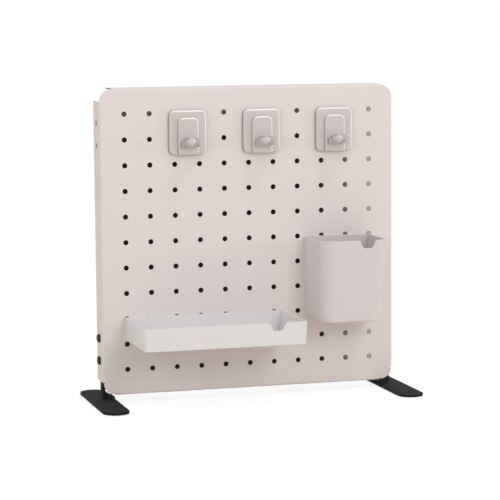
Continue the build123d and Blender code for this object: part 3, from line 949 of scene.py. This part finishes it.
class PEGBOARD_OT_tray(bpy.types.Operator):
    """Build the open tray"""

    bl_idname = "pegboard.tray"
    bl_label = "Tray"

    def execute(self, context):
        scene = context.scene
        tray, shared, board = scene.pegboard_tray, scene.pegboard_shared, scene.pegboard_board
        rim = TRAY_LOW.z + tray.height
        middle = TRAY_LOW.x + tray.width / 2
        bm = bmesh.new()
        open_shell(bm, TRAY_LOW, Vector((TRAY_LOW.x + tray.width, FACE_Y, rim)), tray.draft, tray.draft,
                   tray.corner, tray.corner_steps, tray.foot_round)
        bm = cut_shell(bm, tray.wall, notch_cutter(shared, middle + tray.notch_offset, rim, TRAY_LOW.y))
        pegs = bmesh.new()
        half_spread = tray.peg_columns * board.spacing / 2
        peg_z = hole_z(board, tray.peg_row)
        upright = Matrix.Rotation(math.pi / 2, 4, "X")
        for step in (-half_spread, half_spread):
            x = middle - shared.side_offset + step
            add_peg(pegs, shared, board, x, peg_z)
            boss = Matrix.Translation((x, FACE_Y - tray.wall / 2, peg_z)) @ upright
            bmesh.ops.create_cone(pegs, cap_ends=True, segments=tray.lug_sides, radius1=tray.lug_radius,
                                  radius2=tray.lug_radius, depth=tray.wall, matrix=boss)
        white = moulded_plastic("white satin plastic", tray.plastic, shared)
        finish(bm, "tray_shell", "tray", white, "tray", soft_edges(shared.rim_round, 3))
        finish(pegs, "tray_pegs", "tray", white, "tray", soft_edges(shared.peg_softness, 1))
        return {"FINISHED"}


class PEGBOARD_OT_pen_cup(bpy.types.Operator):
    """Build the pen cup"""

    bl_idname = "pegboard.pen_cup"
    bl_label = "Pen cup"

    def execute(self, context):
        scene = context.scene
        cup, shared, board = scene.pegboard_cup, scene.pegboard_shared, scene.pegboard_board
        rim = CUP_HIGH.z
        middle = (CUP_LOW.x + CUP_HIGH.x) / 2
        bm = bmesh.new()
        open_shell(bm, CUP_LOW, Vector((CUP_HIGH.x, FACE_Y, rim)), cup.side_draft, cup.front_draft,
                   cup.corner, cup.corner_steps, cup.foot_round)
        bm = cut_shell(bm, cup.wall, notch_cutter(shared, middle + cup.notch_offset, rim, CUP_LOW.y))
        pegs = bmesh.new()
        for step in (-board.spacing / 2, board.spacing / 2):
            for row in (cup.peg_row, cup.peg_row + 1):
                add_peg(pegs, shared, board, middle - shared.side_offset + step, hole_z(board, row))
        white = moulded_plastic("rosy white satin plastic", cup.plastic, shared)
        finish(bm, "cup_shell", "pen_cup", white, "pen_cup", soft_edges(shared.rim_round, 3))
        finish(pegs, "cup_pegs", "pen_cup", white, "pen_cup",
               soft_edges(shared.peg_softness, 1))
        return {"FINISHED"}


class PEGBOARD_OT_stage(bpy.types.Operator):
    """Set the floor, the background, the lamps and the camera"""

    bl_idname = "pegboard.stage"
    bl_label = "Stage"

    def execute(self, context):
        stage = context.scene.pegboard_stage
        context.scene.view_settings.view_transform = "Standard"
        self.add_world(context.scene, stage)
        self.add_floor(stage)
        self.add_shade_card(context.scene, stage)
        self.add_lamp("key", stage.key, stage.key_size, stage.key_place)
        self.add_lamp("fill", stage.fill, stage.fill_size, stage.fill_place)
        self.add_lamp("top", stage.edge, stage.edge_size, stage.top_place)
        self.add_lamp("side", stage.edge, stage.edge_size, stage.side_place)
        self.add_camera(context.scene, stage)
        return {"FINISHED"}

    @staticmethod
    def seen_directly(net):
        """1 for a ray that shows the background itself: seen, mirrored or through glass."""
        camera, glossy, through = net.outputs(
            "ShaderNodeLightPath", ("Is Camera Ray", "Is Glossy Ray", "Is Transmission Ray"))
        return net.node("ShaderNodeMath", {"operation": "ADD", "use_clamp": True},
                        {0: camera, 1: glossy + through})

    def add_world(self, scene, stage):
        world = bpy.data.worlds.new("studio")
        scene.world = world
        net = Net(world)
        light, white = [
            net.node("ShaderNodeBackground", {}, {"Color": opaque(WHITE), "Strength": strength})
            for strength in (stage.sky, 1.0)]
        net.output(net.mixed(self.seen_directly(net), light, white), "World")

    def add_floor(self, stage):
        bm = bmesh.new()
        bmesh.ops.create_grid(bm, x_segments=1, y_segments=1, size=stage.floor_size / 2)
        floor = self.stage_object(bm, "floor")
        material, net = new_material("pale floor")
        lit, shadows = [
            net.node("ShaderNodeBsdfDiffuse", {}, {"Color": opaque(shade)})
            for shade in (stage.floor, scaled(WHITE, stage.floor_shadow))]
        seen = net.node("ShaderNodeAddShader", {}, {0: shadows, 1: net.glow(WHITE, stage.floor_glow)})
        net.output(net.mixed(self.seen_directly(net), lit, seen))
        floor.data.materials.append(material)

    def add_shade_card(self, scene, stage):
        """Dark cards in the board's open back: glowing painted shade for the dark space that shows through
        the holes.

        Only what looks from the front sees them. They take no light and cast none.
        """
        board = scene.pegboard_board
        bm = bmesh.new()
        side = (board.columns - 1 + 2 * stage.card_overlap) * board.spacing
        behind_pegs = FACE_Y + board.sheet + scene.pegboard_shared.peg_reach + stage.card_gap
        upright = Matrix.Rotation(math.pi / 2, 4, "X")

        def card(x, y, turn, width):
            matrix = Matrix.Translation((x, y, BOARD_MIDDLE.z)) @ Matrix.Rotation(turn, 4, "Z") @ upright
            size = Matrix.Diagonal((width, side, 1, 1))
            bmesh.ops.create_grid(bm, x_segments=1, y_segments=1, size=0.5, matrix=matrix @ size)

        card(0, behind_pegs, 0, side)
        for sign in (-1, 1):
            card(sign * (BOARD_HIGH.x - stage.wing_inset), BOARD_MIDDLE.y + stage.wing_setback,
                 sign * math.pi / 2, 2 * board.screw_hole)
        cards = self.stage_object(bm, "painted_shade_card")
        material, net = new_material("painted unlit space")
        x, _, z = net.axes()
        # painted light: paler towards the right edge, and a little along the top row
        reach = stage.painted_light_reach
        from_right = net.clamped((x - (BOARD_HIGH.x - reach)) / reach)
        from_top = net.clamped((z - hole_z(board, 1)) / board.spacing)
        painted_light = from_right * from_right | from_top * stage.painted_light_top
        # the cards glow with painted shade, and with painted light where it would come in
        dark = net.glow(net.tint(painted_light, stage.unlit, stage.painted_light), 1.0)
        clear = net.node("ShaderNodeBsdfTransparent", {}, {"Color": opaque(WHITE)})
        camera = net.node("ShaderNodeLightPath", output="Is Camera Ray")
        from_behind = net.node("ShaderNodeNewGeometry", output="Backfacing")
        net.output(net.mixed(camera * (1 - from_behind), clear, dark))
        cards.data.materials.append(material)

    @staticmethod
    def stage_object(bm, name):
        made = in_scene(bm, name)
        return made

    @staticmethod
    def add_lamp(name, power, size, place):
        """A square soft lamp that points at the board's middle."""
        lamp = bpy.data.lights.new(name, "AREA")
        lamp.shape = "SQUARE"
        lamp.size = size
        lamp.energy = power
        made = bpy.data.objects.new(name, lamp)
        made.location = place
        aim = BOARD_MIDDLE - Vector(place)
        made.rotation_euler = aim.to_track_quat("-Z", "Y").to_euler()
        bpy.context.scene.collection.objects.link(made)

    @staticmethod
    def add_camera(scene, stage):
        data = bpy.data.cameras.new("camera")
        data.sensor_width = 36.0
        data.lens = stage.lens
        data.clip_start = 0.05
        data.clip_end = 50.0
        camera = bpy.data.objects.new("camera", data)
        turn = Matrix.Rotation(stage.camera_turn, 4, "Z")
        tilt = Matrix.Rotation(math.pi / 2 - stage.camera_tilt, 4, "X")
        roll = Matrix.Rotation(stage.camera_roll, 4, "Z")
        camera.matrix_world = Matrix.Translation(stage.camera_place) @ turn @ tilt @ roll
        scene.collection.objects.link(camera)
        scene.camera = camera


class PEGBOARD_PT_panel(bpy.types.Panel):
    """Lists the pieces in the order in which they are built"""

    bl_label = "Pegboard Organizer"
    bl_idname = "PEGBOARD_PT_panel"
    bl_space_type = "VIEW_3D"
    bl_region_type = "UI"
    bl_category = "Pegboard"

    def draw(self, context):
        for operator in OPERATORS:
            self.layout.operator(operator.bl_idname)
        for group, kind in GROUPS.items():
            box = self.layout.box()
            box.label(text=kind.__doc__)
            for name in kind.__annotations__:
                box.prop(getattr(context.scene, group), name)


OPERATORS = (
    PEGBOARD_OT_board,
    PEGBOARD_OT_feet,
    PEGBOARD_OT_hooks,
    PEGBOARD_OT_tray,
    PEGBOARD_OT_pen_cup,
    PEGBOARD_OT_stage,
)


def register():
    for kind in (*GROUPS.values(), *OPERATORS, PEGBOARD_PT_panel):
        bpy.utils.register_class(kind)
    for name, kind in GROUPS.items():
        setattr(bpy.types.Scene, name, bpy.props.PointerProperty(type=kind))


def unregister():
    for name in GROUPS:
        delattr(bpy.types.Scene, name)
    for kind in reversed((*GROUPS.values(), *OPERATORS, PEGBOARD_PT_panel)):
        bpy.utils.unregister_class(kind)


def main():
    register()
    for operator in OPERATORS:
        group, name = operator.bl_idname.split(".")
        getattr(getattr(bpy.ops, group), name)()


if __name__ == "__main__":
    main()
